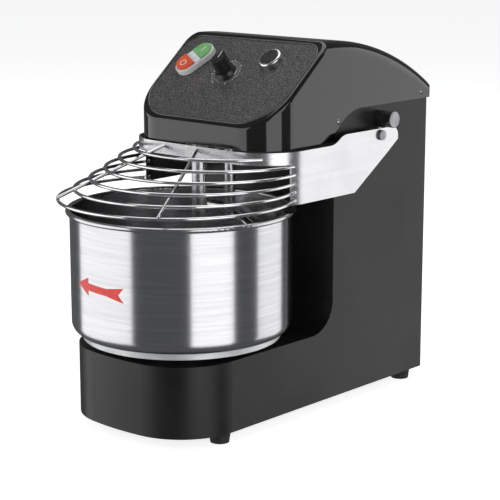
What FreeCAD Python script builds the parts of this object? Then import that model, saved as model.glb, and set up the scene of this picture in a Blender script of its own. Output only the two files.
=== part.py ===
"""Spiral dough mixer for a kitchen worktop.

A turning bowl stands on a low base. A column behind it carries an overhanging head, from which a fixed
breaker bar and a turning spiral hook reach down into the bowl. A wire guard on two steel arms tilts up.
One motor in the column turns a layshaft by belt, and two chains take it to the bowl and to the spiral.

Millimetres, +Z up, -Y to the front. The model is drawn about the bowl's axis on the worktop, and each
piece is moved to the assembly's own origin, at the middle of its footprint, when it is written out.
"""
import FreeCAD
import Part
import math
import os

from FreeCAD import Rotation, Vector

X_AXIS = Vector(1, 0, 0)
Y_AXIS = Vector(0, 1, 0)
Z_AXIS = Vector(0, 0, 1)
SIDES = (("left", -1), ("right", 1))

# Fits and sheet
FIT_GAP = 0.3
RUNNING_GAP = 0.05
SHEET = 2.5
WELD = 0.6

# Bowl
BOWL_RADIUS = 130.0
BOWL_WALL = 1.5
BOWL_CORNER_RADIUS = 13.0
BOWL_DEPTH = 143.3
BOWL_BEAD_RADIUS = 3.1
BOWL_RING_HEIGHT = 7.0
BOWL_RING_WIDTH = 15.0
BOWL_LIFT = 7.4
BOWL_SHAFT_RADIUS = 15.0
BOWL_FLANGE_RADIUS = 40.0
BOWL_BEARING_OUTER = 31.0

# Base and column
FOOT_HEIGHT = 14.0
FOOT_RADIUS = 13.0
FOOT_INSET = 18.0
BODY_HALF_WIDTH = 109.0
BASE_SETBACK = 19.0
BASE_CORNER_RADIUS = 78.0
BASE_FRONT_RADIUS = 330.0
BASE_TOP = 98.3
COLUMN_GAP = 18.0
COLUMN_DEPTH = 186.5
COLUMN_FILLET = 38.0
COLUMN_REAR_RADIUS = 6.0
BOTTOM_PLATE = 4.0
WINDOW_INSET = 21.0
WINDOW_BOTTOM = 44.0
WINDOW_TOP_GAP = 53.0
REAR_COVER_LAP = 9.0
REAR_COVER_SHEET = 1.5
GLAND_RADIUS = 8.0
GLAND_ACROSS = -60.0
GLAND_HEIGHT = 66.0

# Head cover
COVER_WALL = 2.7
HEAD_OVER_RIM = 72.5
HEAD_OVER_BOWL = 106.0
HEAD_OVERHANG = 7.5
HEAD_CORNER_RADIUS = 46.0
HEAD_REAR_RADIUS = 14.0
SKIRT_RISE = 36.5
SKIRT_RUN = 87.0
SKIRT_AHEAD = 38.0
COLUMN_ABOVE_SKIRT = 6.0
HEAD_LIP = 25.5
PANEL_RUN = 111.0
PANEL_RISE = 93.0
ROOF_RADIUS = 365.0
ROOF_REAR_RADIUS = 34.0
ROOF_EDGE_RADIUS = 16.0
PANEL_EDGE_RADIUS = 5.0
PANEL_PLATE = 1.5
PANEL_BORDER = 6.0
PANEL_LOW_RADIUS = 50.0
PANEL_TOP_RADIUS = 22.0
COVER_SCREW_RADIUS = 3.4
COVER_SCREW_LIFT = 8.0
FRONT_SCREW_LIFT = 23.5

# Spiral and breaker bar
SPIRAL_RADIUS = 32.0
SPIRAL_WALL_GAP = 6.0
SPIRAL_FLOOR_GAP = 5.0
SPIRAL_TURNS = 1.25
SPIRAL_TOP_GAP = 15.0
ROD_RADIUS = 6.5
SPINDLE_RADIUS = 12.5
SPIRAL_BEARING = 26.0
BREAKER_RADIUS = 9.0
BREAKER_SETBACK = 7.0
BREAKER_FLOOR_GAP = 6.0
FLANGE_HALF_WIDTH = 18.0
FLANGE_DEPTH = 26.0
FLANGE_SHEET = 4.0
FLANGE_BOLT_RADIUS = 3.0
FLANGE_BOLT_SPACING = 22.0

# Guard
ARM_SHEET = 2.0
ARM_SPACING = 11.0
GUARD_AHEAD = 6.0
GUARD_CORNER_RADIUS = 58.0
STRIP_HEIGHT = 14.5
ARM_OVER_RIM = 10.0
ARM_SETBACK = 40.0
PIVOT_BEHIND = 73.0
PIVOT_RADIUS = 4.0
PIVOT_LIFT = 1.5
ARM_OVER_PIVOT = 8.0
ARM_UNDER_PIVOT = 22.0
ARM_TAIL = 34.0
ARM_TAIL_CUT = 20.0
ARM_HEEL = 50.0
ARM_STEP_START = 95.0
ARM_STEP_END = 65.0
ARM_RADIUS = 12.0
SPACER_RADIUS = 9.0
STOP_RADIUS = 10.0
STOP_SHANK = 5.0
STOP_BEHIND = 11.0
STOP_REACH = 12.0
HOOP_COUNT = 6
HOOP_WIRE = 2.0
HOOP_OVER_RIM = 15.0
HOOP_RISE = 9.8
HOOP_OVER_BOWL = 14.0
HOOP_STEP = 22.8
HOOP_END_SETBACK = 8.0
TOP_HOOP_INSET = 22.0
ROD_TOP_SPACING = 54.0
ROD_TOP_SHIFT = -18.0
ROD_LOW_ANGLE = 36.0

# Drive
BEAM_HALF_WIDTH = 60.0
BEAM_THICK = 8.0
BEAM_LUG = 25.0
BRACKET_SHEET = 4.0
LAYSHAFT_BEHIND = 57.0
LAYSHAFT_RADIUS = 10.0
LAYSHAFT_BEARING = 21.0
MOTOR_BEHIND = 77.0
MOTOR_RADIUS = 42.0
MOTOR_HEIGHT = 168.0
MOTOR_SHAFT_RADIUS = 6.0
CHAIN_THICK = 5.0
CHAIN_HEIGHT = 8.0
LOW_CHAIN_Z = 50.0
TOP_CHAIN_LIFT = 12.7
BELT_DROP = 28.5
BOWL_SPROCKET = 66.0
LOW_SPROCKET = 20.0
TOP_SPROCKET = 40.0
SPIRAL_SPROCKET = 20.0
MOTOR_PULLEY = 18.0
LAYSHAFT_PULLEY = 46.0

# Controls, in the panel's own plane: across it, and up it from its lower edge
DUAL_AT = (-67.0, 96.0)
DUAL_TURN = -29.0
DUAL_LENGTH = 54.0
DUAL_WIDTH = 30.0
DUAL_BEZEL = 7.0
DUAL_LIP = 2.4
LAMP_HALF = 4.5
KNOB_AT = (-8.0, 82.0)
KNOB_DIAL_RADIUS = 17.0
KNOB_GRIP_RADIUS = 10.0
KNOB_HEIGHT = 24.0
KNOB_SHAFT = 3.0
KNOB_SKIRT_TOP = 6.2
ROUND_AT = (48.0, 106.0)
ROUND_BEZEL_RADIUS = 14.5
ROUND_BEZEL_HEIGHT = 8.0
ROUND_BUTTON_RADIUS = 11.2
BUTTON_RISE = 1.6
BUTTON_TRAVEL = 3.0
CONTACT_DEPTH = 26.0
CONTACT_WIDTH = 22.0
CLOCKWORK_WIDTH = 34.0
PANEL_HOLE = 11.0

# Places that follow from the sizes above, from the bottom up and from the front to the rear
BOWL_SEAT = BASE_TOP + BOWL_LIFT
BOWL_BOTTOM = BOWL_SEAT + BOWL_RING_HEIGHT
BOWL_INSIDE = BOWL_BOTTOM + BOWL_WALL
BOWL_RIM = BOWL_BOTTOM + BOWL_DEPTH
BASE_FRONT = BASE_SETBACK - BOWL_RADIUS
COLUMN_FRONT = BOWL_RADIUS + COLUMN_GAP
COLUMN_REAR = COLUMN_FRONT + COLUMN_DEPTH
HEAD_BOTTOM = BOWL_RIM + HEAD_OVER_RIM
HEAD_SKIRT_REAR = HEAD_BOTTOM + SKIRT_RISE
COLUMN_TOP = HEAD_SKIRT_REAR + COLUMN_ABOVE_SKIRT
HEAD_HALF_WIDTH = BODY_HALF_WIDTH + FIT_GAP + COVER_WALL
HEAD_FRONT = BOWL_RADIUS - HEAD_OVER_BOWL
HEAD_REAR = COLUMN_REAR + HEAD_OVERHANG
SKIRT_STEP_START = COLUMN_FRONT - SKIRT_AHEAD
SKIRT_STEP_END = SKIRT_STEP_START + SKIRT_RUN
PANEL_LOW_Z = HEAD_BOTTOM + HEAD_LIP
PANEL_TOP_Z = PANEL_LOW_Z + PANEL_RISE
PANEL_TOP_Y = HEAD_FRONT + PANEL_RUN
PANEL_TILT = math.degrees(math.atan2(PANEL_RISE, PANEL_RUN))
COVER_SCREWS = ((COLUMN_FRONT + 4, HEAD_BOTTOM + FRONT_SCREW_LIFT),
                (COLUMN_REAR - 19.5, HEAD_SKIRT_REAR + COVER_SCREW_LIFT))
BEAM_BOTTOM = HEAD_BOTTOM + SHEET + FIT_GAP
BEAM_TOP = BEAM_BOTTOM + BEAM_THICK
SPIRAL_Y = BOWL_RADIUS - BOWL_WALL - SPIRAL_WALL_GAP - ROD_RADIUS - SPIRAL_RADIUS
SPIRAL_TOP = BOWL_RIM - SPIRAL_TOP_GAP + BOWL_BEAD_RADIUS
BREAKER_Y = HEAD_FRONT + BREAKER_SETBACK
FLANGE_FRONT = HEAD_FRONT + COVER_WALL + FIT_GAP
FLANGE_BOLTS = ((-FLANGE_BOLT_SPACING / 2, FLANGE_FRONT + FLANGE_DEPTH - 9),
                (FLANGE_BOLT_SPACING / 2, FLANGE_FRONT + FLANGE_DEPTH - 9))
ARM_INNER = BODY_HALF_WIDTH + ARM_SPACING
ARM_HALF_WIDTH = ARM_INNER + ARM_SHEET
GUARD_FRONT = HEAD_FRONT - GUARD_AHEAD
STRIP_TOP = HEAD_BOTTOM - 1.0
STRIP_BOTTOM = STRIP_TOP - STRIP_HEIGHT
ARM_FRONT = GUARD_FRONT + ARM_SETBACK
ARM_BOTTOM = BOWL_RIM + ARM_OVER_RIM
PIVOT_Y = COLUMN_FRONT + PIVOT_BEHIND
PIVOT_Z = HEAD_BOTTOM + PIVOT_LIFT
ARM_TOP = PIVOT_Z + ARM_OVER_PIVOT
STOP_Y = PIVOT_Y + STOP_BEHIND
STOP_Z = ARM_TOP + FIT_GAP + STOP_RADIUS
STOP_END = ARM_HALF_WIDTH + STOP_REACH
HOOP_LOW_Z = BOWL_RIM + HOOP_OVER_RIM
HOOP_FRONT = -BOWL_RADIUS - HOOP_OVER_BOWL
HOOP_END_Y = ARM_FRONT + HOOP_END_SETBACK
TOP_HOOP_HALF = ARM_HALF_WIDTH - TOP_HOOP_INSET
LAYSHAFT_Y = COLUMN_FRONT + LAYSHAFT_BEHIND
MOTOR_Y = LAYSHAFT_Y + MOTOR_BEHIND
BELT_Z = HEAD_BOTTOM - BELT_DROP
TOP_CHAIN_Z = BEAM_TOP + TOP_CHAIN_LIFT
REAR_WINDOW = (WINDOW_INSET - BODY_HALF_WIDTH, BODY_HALF_WIDTH - WINDOW_INSET, WINDOW_BOTTOM,
               COLUMN_TOP - WINDOW_TOP_GAP)
ORIGIN = Vector(0, (HOOP_FRONT - HOOP_WIRE + HEAD_REAR) / 2, 0)


def box(x0, x1, y0, y1, z0, z1):
    """A box between two corners."""
    return Part.makeBox(x1 - x0, y1 - y0, z1 - z0, Vector(x0, y0, z0))


def disc(radius, z0, z1, x=0.0, y=0.0):
    """An upright cylinder from z0 to z1."""
    return Part.makeCylinder(radius, z1 - z0, Vector(x, y, z0))


def ring(outer, inner, z0, z1, x=0.0, y=0.0):
    """An upright tube from z0 to z1."""
    return disc(outer, z0, z1, x, y).cut(disc(inner, z0, z1, x, y))


def side_pin(radius, x0, x1, y, z):
    """A cylinder along X between two places."""
    return Part.makeCylinder(radius, abs(x1 - x0), Vector(min(x0, x1), y, z), X_AXIS)


def arc(start, middle, end):
    """A circular edge through three points."""
    return Part.Arc(start, middle, end).toShape()


def line(start, end):
    """A straight edge."""
    return Part.LineSegment(start, end).toShape()


def prism(edges, direction):
    """A closed outline pushed along a vector into a solid."""
    return Part.Face(Part.Wire(Part.__sortEdges__(edges))).extrude(direction)


def on_circle(centre, radius, angle):
    """A point on a horizontal circle."""
    return centre + Vector(radius * math.cos(angle), radius * math.sin(angle), 0)


def base_outline(inset):
    """The base and column in plan: a shallow front arc, two corner arcs, straight sides, small rear corners."""
    half = BODY_HALF_WIDTH - inset
    corner = BASE_CORNER_RADIUS - inset
    front = BASE_FRONT_RADIUS - inset
    rear = COLUMN_REAR - inset
    rear_radius = max(COLUMN_REAR_RADIUS - inset, 1.0)
    front_centre = Vector(0, BASE_FRONT + inset + front, 0)
    reach = front - corner
    corner_y = front_centre.y - math.sqrt(reach * reach - (half - corner) ** 2)
    edges = []
    meets = []
    for _, side in SIDES:
        centre = Vector(side * (half - corner), corner_y, 0)
        toward = (centre - front_centre).normalize()
        meet = centre + toward * corner
        meets.append(meet)
        outward = Vector(side, 0, 0)
        middle = centre + (toward + outward).normalize() * corner
        shoulder = Vector(side * half, corner_y, 0)
        edges.append(arc(meet, middle, shoulder))
        rear_start = Vector(side * half, rear - rear_radius, 0)
        edges.append(line(shoulder, rear_start))
        bend = Vector(side * (half - rear_radius), rear - rear_radius, 0)
        turn = bend + Vector(side, 1, 0).normalize() * rear_radius
        edges.append(arc(rear_start, turn, Vector(side * (half - rear_radius), rear, 0)))
    edges.append(arc(meets[0], Vector(0, BASE_FRONT + inset, 0), meets[1]))
    edges.append(line(Vector(-(half - rear_radius), rear, 0), Vector(half - rear_radius, rear, 0)))
    return edges


def body_profile(inset, low, high):
    """Base and column seen from the side: low base top, hollow corner, column front."""
    front = BASE_FRONT - 1.0
    rear = COLUMN_REAR + 1.0
    top = BASE_TOP - inset
    wall = COLUMN_FRONT + inset
    radius = COLUMN_FILLET + inset
    hub = Vector(0, wall - radius, top + radius)
    turn = hub + Vector(0, 1, -1).normalize() * radius
    points = [Vector(0, wall, high), Vector(0, rear, high), Vector(0, rear, low),
              Vector(0, front, low), Vector(0, front, top), Vector(0, wall - radius, top)]
    edges = [line(points[i], points[i + 1]) for i in range(len(points) - 1)]
    edges.append(arc(points[-1], turn, Vector(0, wall, top + radius)))
    edges.append(line(Vector(0, wall, top + radius), points[0]))
    return [e.translated(Vector(-BODY_HALF_WIDTH - 1, 0, 0)) for e in edges]


def body_solid(inset, low, high):
    """The base and column as one solid, drawn in by inset."""
    width = Vector(2 * BODY_HALF_WIDTH + 2, 0, 0)
    block = prism(base_outline(inset), Vector(0, 0, high - low)).translated(Vector(0, 0, low))
    return block.common(prism(body_profile(inset, low, high), width))


def body_shell():
    """Welded sheet housing of base and column, open below, above and behind, with holes for shafts and pins."""
    shell = body_solid(0.0, FOOT_HEIGHT, COLUMN_TOP)
    shell = shell.cut(body_solid(SHEET, FOOT_HEIGHT - 1, COLUMN_TOP + 1))
    x0, x1, z0, z1 = REAR_WINDOW
    shell = shell.cut(box(x0, x1, COLUMN_REAR - 2 * SHEET, COLUMN_REAR + 1, z0, z1))
    shell = shell.cut(box(-BEAM_HALF_WIDTH - FIT_GAP, BEAM_HALF_WIDTH + FIT_GAP, COLUMN_FRONT - 1,
                          COLUMN_FRONT + 2 * SHEET, HEAD_BOTTOM, COLUMN_TOP + 1))
    shell = shell.cut(disc(BOWL_BEARING_OUTER, BASE_TOP - 2 * SHEET, BASE_TOP + 1))
    for _, side in SIDES:
        outer = side * (BODY_HALF_WIDTH + 1)
        inner = side * (BODY_HALF_WIDTH - 2 * SHEET)
        shell = shell.cut(side_pin(PIVOT_RADIUS, inner, outer, PIVOT_Y, PIVOT_Z))
        shell = shell.cut(side_pin(STOP_SHANK, inner, outer, STOP_Y, STOP_Z))
    return shell


def bottom_plate():
    """Flat plate that closes the base from below and carries the feet and the layshaft's lower bearing."""
    inset = SHEET + FIT_GAP
    return prism(base_outline(inset), Vector(0, 0, BOTTOM_PLATE)).translated(Vector(0, 0, FOOT_HEIGHT))


def foot_places():
    """Centres of the four feet, by name."""
    across = BODY_HALF_WIDTH - FOOT_INSET
    front = BASE_FRONT + BASE_CORNER_RADIUS
    rear = COLUMN_REAR - FOOT_INSET - FOOT_RADIUS / 2
    for name, side in SIDES:
        yield "foot_front_" + name, side * across, front
        yield "foot_rear_" + name, side * across, rear


def foot(x, y):
    """A tapered rubber foot with its screw recess below."""
    recess = 3.5
    shape = Part.makeCone(FOOT_RADIUS - 2, FOOT_RADIUS, FOOT_HEIGHT, Vector(x, y, 0))
    return shape.cut(disc(recess, 0, FOOT_HEIGHT / 2, x, y))


def rear_cover():
    """Screwed-on cover plate over the column's rear window, with two rows of air slots."""
    x0, x1, z0, z1 = REAR_WINDOW
    y0 = COLUMN_REAR
    plate = box(x0 - REAR_COVER_LAP, x1 + REAR_COVER_LAP, y0, y0 + REAR_COVER_SHEET,
                z0 - REAR_COVER_LAP, z1 + REAR_COVER_LAP)
    for row in range(8):
        z = z0 + 150 + row * 13
        for _, side in SIDES:
            slot_x = side * 40.0
            plate = plate.cut(box(slot_x - 27, slot_x + 27, y0 - 1, y0 + 3, z, z + 4.5))
    for x, z in rear_screw_places():
        plate = plate.cut(Part.makeCylinder(2.1, 4, Vector(x, y0 - 1, z), Y_AXIS))
    return plate.cut(Part.makeCylinder(GLAND_RADIUS, 4, Vector(GLAND_ACROSS, y0 - 1, GLAND_HEIGHT), Y_AXIS))


def rear_screw_places():
    """Where the rear cover's screws go through it."""
    x0, x1, z0, z1 = REAR_WINDOW
    inset = REAR_COVER_LAP / 2
    middle = (z0 + z1) / 2
    for x in (x0 - inset, x1 + inset):
        for z in (z0 - inset, middle, z1 + inset):
            yield x, z


def rear_cover_screws():
    """Pan-head screws of the rear cover, resting on its face."""
    y = COLUMN_REAR + REAR_COVER_SHEET
    return Part.makeCompound([screw_head(Vector(x, y, z), Y_AXIS, 3.6) for x, z in rear_screw_places()])


def screw_head(seat, direction, radius):
    """A domed screw head with a cross recess, standing on seat."""
    height = radius * 0.55
    bulge = (radius * radius + height * height) / (2 * height)
    ball = Part.makeSphere(bulge, seat - direction * (bulge - height))
    block = Part.makeCylinder(radius, height, seat, direction)
    head = block.common(ball)
    slot = Part.makeBox(radius * 1.1, radius * 0.28, radius, Vector(-radius * 0.55, -radius * 0.14, 0))
    cross = slot.fuse(slot.rotated(Vector(), Z_AXIS, 90))
    cross.Placement = FreeCAD.Placement(seat + direction * height * 0.5, Rotation(Z_AXIS, direction))
    return head.cut(cross)


def cable_gland():
    """Round inlet bush with a hexagon nut, empty, low on the rear cover."""
    y0 = COLUMN_REAR - 6
    barrel = Part.makeCylinder(GLAND_RADIUS - FIT_GAP, 12.5, Vector(GLAND_ACROSS, y0, GLAND_HEIGHT), Y_AXIS)
    corners = [Vector(GLAND_ACROSS + 12 * math.cos(math.radians(60 * i)), COLUMN_REAR + REAR_COVER_SHEET,
                      GLAND_HEIGHT + 12 * math.sin(math.radians(60 * i))) for i in range(6)]
    nut = Part.Face(Part.makePolygon(corners + corners[:1])).extrude(Vector(0, 4, 0))
    bore = Part.makeCylinder(4.0, 30, Vector(GLAND_ACROSS, y0 - 1, GLAND_HEIGHT), Y_AXIS)
    return barrel.fuse(nut).cut(bore)


def head_outline(inset):
    """The head in plan: straight front, large front corners, straight sides, small rear corners."""
    half = HEAD_HALF_WIDTH - inset
    corner = HEAD_CORNER_RADIUS - inset
    rear_corner = HEAD_REAR_RADIUS - inset
    front = HEAD_FRONT + inset
    rear = HEAD_REAR - inset
    edges = [line(Vector(-half + corner, front, 0), Vector(half - corner, front, 0)),
             line(Vector(-half + rear_corner, rear, 0), Vector(half - rear_corner, rear, 0))]
    for _, side in SIDES:
        for y, radius, way in ((front + corner, corner, -1), (rear - rear_corner, rear_corner, 1)):
            hub = Vector(side * (half - radius), y, 0)
            turn = hub + Vector(side, way, 0).normalize() * radius
            edges.append(arc(Vector(hub.x, y + way * radius, 0), turn, Vector(side * half, y, 0)))
        edges.append(line(Vector(side * half, front + corner, 0), Vector(side * half, rear - rear_corner, 0)))
    return edges


def head_profile(inset, low):
    """The head seen from the side: upright front, sloped panel, long roof arc, rounded rear."""
    front = HEAD_FRONT + inset
    rear = HEAD_REAR - inset
    slope = math.radians(PANEL_TILT)
    drop = inset / math.cos(slope) - inset * math.tan(slope)
    top = PANEL_TOP_Z - inset
    top_y = PANEL_TOP_Y + inset * math.tan(slope / 2)
    radius = ROOF_RADIUS - inset
    roof_hub = Vector(0, PANEL_TOP_Y, PANEL_TOP_Z - ROOF_RADIUS)
    end_radius = ROOF_REAR_RADIUS - inset
    end_y = rear - end_radius
    reach = radius - end_radius
    end_z = roof_hub.z + math.sqrt(reach * reach - (end_y - roof_hub.y) ** 2)
    end_hub = Vector(0, end_y, end_z)
    out = (end_hub - roof_hub).normalize()
    meet = end_hub + out * end_radius
    ridge = Vector(0, top_y, roof_hub.z + math.sqrt(radius * radius - (top_y - roof_hub.y) ** 2))
    half_way = ((ridge - roof_hub).normalize() + out).normalize()
    turn = end_hub + (out + Y_AXIS).normalize() * end_radius
    knee = Vector(0, front, PANEL_LOW_Z - drop)
    return [line(Vector(0, front, low), knee), line(knee, ridge),
            arc(ridge, roof_hub + half_way * radius, meet), arc(meet, turn, Vector(0, rear, end_z)),
            line(Vector(0, rear, end_z), Vector(0, rear, low)), line(Vector(0, rear, low), Vector(0, front, low))]


def head_solid(inset, low):
    """The head as one solid, drawn in by inset."""
    width = 2 * HEAD_HALF_WIDTH + 2
    block = prism(head_outline(inset), Vector(0, 0, 2 * PANEL_TOP_Z)).translated(Vector(0, 0, low))
    side = prism(head_profile(inset, low), Vector(width, 0, 0)).translated(Vector(-width / 2, 0, 0))
    return block.common(side).common(rounded_roof(inset))


def rounded_roof(inset):
    """A wheel as wide as the head, turned about the roof arc's centre, with rounded rims."""
    hub = Vector(0, PANEL_TOP_Y, PANEL_TOP_Z - ROOF_RADIUS)
    half = HEAD_HALF_WIDTH - inset
    rim = PANEL_TOP_Z - inset
    radius = ROOF_EDGE_RADIUS - inset
    slant = radius * math.sqrt(0.5)
    edges = [line(Vector(-half, hub.y, hub.z), Vector(half, hub.y, hub.z)),
             line(Vector(-half + radius, hub.y, rim), Vector(half - radius, hub.y, rim))]
    for _, side in SIDES:
        bend = Vector(side * (half - radius), hub.y, rim - radius)
        shoulder = Vector(side * half, hub.y, rim - radius)
        edges.append(arc(bend + Vector(0, 0, radius), bend + Vector(side * slant, 0, slant), shoulder))
        edges.append(line(shoulder, Vector(side * half, hub.y, hub.z)))
    return Part.Face(Part.Wire(Part.__sortEdges__(edges))).revolve(hub, X_AXIS, 360)


def skirt_cutter():
    """What is cut away below the head cover's stepped lower edge."""
    run = SKIRT_STEP_END - SKIRT_STEP_START
    rise = HEAD_SKIRT_REAR - HEAD_BOTTOM
    radius = (run * run + rise * rise) / (4 * rise)
    low = HEAD_BOTTOM - 60
    start = Vector(0, SKIRT_STEP_START, HEAD_BOTTOM)
    end = Vector(0, SKIRT_STEP_END, HEAD_SKIRT_REAR)
    half = math.asin(run / 2 / radius) / 2
    middle = (start + end) * 0.5
    first = start + Vector(0, radius * math.sin(half), radius * (1 - math.cos(half)))
    second = end - Vector(0, radius * math.sin(half), radius * (1 - math.cos(half)))
    rear = HEAD_REAR + 5
    edges = [arc(start, first, middle), arc(middle, second, end),
             line(end, Vector(0, rear, HEAD_SKIRT_REAR)), line(Vector(0, rear, HEAD_SKIRT_REAR), Vector(0, rear, low)),
             line(Vector(0, rear, low), Vector(0, SKIRT_STEP_START, low)),
             line(Vector(0, SKIRT_STEP_START, low), start)]
    width = 2 * HEAD_HALF_WIDTH + 4
    return prism(edges, Vector(width, 0, 0)).translated(Vector(-width / 2, 0, 0))


def panel_place(across=0.0, up=0.0, out=0.0, turn=0.0):
    """A placement on the sloped panel: across it, up it from its lower edge, and out of it."""
    slope = math.radians(PANEL_TILT)
    y = HEAD_FRONT + up * math.cos(slope) - out * math.sin(slope)
    z = PANEL_LOW_Z + up * math.sin(slope) + out * math.cos(slope)
    return FreeCAD.Placement(Vector(across, y, z), Rotation(X_AXIS, PANEL_TILT).multiply(Rotation(Z_AXIS, turn)))


def placed(shape, *where, **more):
    """A copy of a shape drawn at the origin, moved onto the panel."""
    copy = shape.copy()
    copy.Placement = panel_place(*where, **more)
    return copy


def panel_outline(inset):
    """The control panel's outline in its own plane: wide rounded lower corners, smaller upper corners."""
    slope = math.radians(PANEL_TILT)
    length = (PANEL_TOP_Y - HEAD_FRONT) / math.cos(slope)
    half = HEAD_HALF_WIDTH - PANEL_BORDER - inset
    low = PANEL_BORDER + inset
    high = length - PANEL_BORDER - inset
    low_radius = PANEL_LOW_RADIUS - inset
    high_radius = PANEL_TOP_RADIUS - inset
    edges = [line(Vector(-half + low_radius, low, 0), Vector(half - low_radius, low, 0)),
             line(Vector(-half + high_radius, high, 0), Vector(half - high_radius, high, 0))]
    for _, side in SIDES:
        for y, radius, way in ((low + low_radius, low_radius, -1), (high - high_radius, high_radius, 1)):
            hub = Vector(side * (half - radius), y, 0)
            turn = hub + Vector(side, way, 0).normalize() * radius
            edges.append(arc(Vector(hub.x, y + way * radius, 0), turn, Vector(side * half, y, 0)))
        edges.append(line(Vector(side * half, low + low_radius, 0), Vector(side * half, high - high_radius, 0)))
    return edges


def control_holes(depth):
    """The round holes behind the three controls."""
    hole = Part.makeCylinder(PANEL_HOLE, 2 * depth, Vector(0, 0, -depth))
    return [placed(hole, *at) for at in (DUAL_AT, KNOB_AT, ROUND_AT)]


def head_cover():
    """Moulded shell over the column's top and the head beam, with a recess for the control panel."""
    outer = head_solid(0.0, HEAD_BOTTOM)
    outer = outer.makeFillet(PANEL_EDGE_RADIUS, [e for e in outer.Edges if is_panel_edge(e)])
    shell = outer.cut(head_solid(COVER_WALL, HEAD_BOTTOM - 1)).cut(skirt_cutter())
    recess = prism(panel_outline(0.0), Vector(0, 0, 3 * PANEL_PLATE))
    shell = shell.cut(placed(recess, 0, 0, -PANEL_PLATE))
    for hole in control_holes(3 * COVER_WALL):
        shell = shell.cut(hole)
    return shell


def is_panel_edge(edge):
    """True for the edges round the sloped panel's lower end and sides."""
    centre = edge.CenterOfMass
    room = edge.BoundBox
    return room.ZMin > PANEL_LOW_Z - 1 and centre.y < PANEL_TOP_Y - ROOF_EDGE_RADIUS


def control_panel():
    """Textured plate in the head cover's recess."""
    plate = prism(panel_outline(FIT_GAP), Vector(0, 0, PANEL_PLATE))
    plate = placed(plate, 0, 0, -PANEL_PLATE)
    for hole in control_holes(3 * COVER_WALL):
        plate = plate.cut(hole)
    return plate


def stadium(length, width, z0, z1):
    """A long rounded block, its long way along Y."""
    radius = width / 2
    straight = length / 2 - radius
    block = box(-radius, radius, -straight, straight, z0, z1)
    for y in (-straight, straight):
        block = block.fuse(disc(radius, z0, z1, 0, y))
    return block.removeSplitter()


def dual_bezel():
    """Bezel of the start and stop pair: an oval collar with a nose that passes through the panel."""
    rim = stadium(DUAL_LENGTH, DUAL_WIDTH, 0, DUAL_BEZEL)
    top_edges = [e for e in rim.Edges if e.BoundBox.ZMin > DUAL_BEZEL - 0.01]
    rim = rim.makeFillet(1.8, top_edges)
    well = stadium(DUAL_LENGTH - 2 * DUAL_LIP, DUAL_WIDTH - 2 * DUAL_LIP, 2.0, DUAL_BEZEL + 1)
    nose = disc(PANEL_HOLE - FIT_GAP, -COVER_WALL - 2, 0)
    return placed(rim.cut(well).fuse(nose), *DUAL_AT, turn=DUAL_TURN)


def dual_part(low, high, top):
    """A slice of the pair's face between two places along its long way."""
    inner = stadium(DUAL_LENGTH - 2 * DUAL_LIP - 2 * FIT_GAP, DUAL_WIDTH - 2 * DUAL_LIP - 2 * FIT_GAP,
                    DUAL_BEZEL - 1.6, top)
    return inner.common(box(-DUAL_WIDTH, DUAL_WIDTH, low, high, 0, top + 1))


def start_button():
    """Green upper key of the pair."""
    key = dual_part(LAMP_HALF + FIT_GAP, DUAL_LENGTH, DUAL_BEZEL + BUTTON_RISE)
    return placed(key, *DUAL_AT, turn=DUAL_TURN)


def stop_button():
    """Red lower key of the pair, a little prouder than the green one."""
    key = dual_part(-DUAL_LENGTH, -LAMP_HALF - FIT_GAP, DUAL_BEZEL + BUTTON_RISE + 0.8)
    return placed(key, *DUAL_AT, turn=DUAL_TURN)


def pilot_lamp():
    """Clear lens between the two keys, on a stem down to the bezel's floor."""
    lens = dual_part(-LAMP_HALF, LAMP_HALF, DUAL_BEZEL + 0.4)
    stem = box(-5, 5, -LAMP_HALF, LAMP_HALF, 2.0, DUAL_BEZEL)
    return placed(lens.fuse(stem).removeSplitter(), *DUAL_AT, turn=DUAL_TURN)


def timer_dial():
    """Fixed dial ring under the timer knob, with a collar through the panel that guides the spindle."""
    face = disc(KNOB_DIAL_RADIUS, 0, 1.2).fuse(disc(PANEL_HOLE - FIT_GAP, -COVER_WALL - 2, 0))
    return placed(face.cut(disc(KNOB_SHAFT + RUNNING_GAP, -10, 5)), *KNOB_AT)


def timer_knob():
    """Black knob: a skirt, a fluted grip with a raised pointer rib, and its spindle."""
    skirt = Part.makeCone(14.0, KNOB_GRIP_RADIUS + 1.5, 4.6, Vector(0, 0, 1.2 + FIT_GAP))
    grip = Part.makeCone(KNOB_GRIP_RADIUS, KNOB_GRIP_RADIUS - 1.2, KNOB_HEIGHT - KNOB_SKIRT_TOP + 1,
                         Vector(0, 0, KNOB_SKIRT_TOP - 1))
    rib = box(-1.4, 1.4, 0, KNOB_GRIP_RADIUS + 2.0, KNOB_SKIRT_TOP - 1, KNOB_HEIGHT)
    knob = skirt.fuse(grip).fuse(rib)
    for i in range(18):
        angle = math.radians(20 * i + 10)
        x = (KNOB_GRIP_RADIUS + 0.5) * math.cos(angle)
        y = (KNOB_GRIP_RADIUS + 0.5) * math.sin(angle)
        if abs(x) > 3 or y < 0:
            knob = knob.cut(disc(0.9, KNOB_SKIRT_TOP + 1, KNOB_HEIGHT + 1, x, y))
    spindle = disc(KNOB_SHAFT, -CONTACT_DEPTH + 12, 1.2 + FIT_GAP)
    return placed(knob.fuse(spindle), *KNOB_AT)


def round_bezel():
    """Bright round collar of the single push-button."""
    rim = disc(ROUND_BEZEL_RADIUS, 0, ROUND_BEZEL_HEIGHT)
    top_edges = [e for e in rim.Edges if e.BoundBox.ZMin > ROUND_BEZEL_HEIGHT - 0.01]
    rim = rim.makeFillet(2.2, top_edges)
    well = disc(ROUND_BUTTON_RADIUS + FIT_GAP, 2.0, ROUND_BEZEL_HEIGHT + 1)
    nose = disc(PANEL_HOLE - FIT_GAP, -COVER_WALL - 2, 0)
    return placed(rim.cut(well).fuse(nose), *ROUND_AT)


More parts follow.
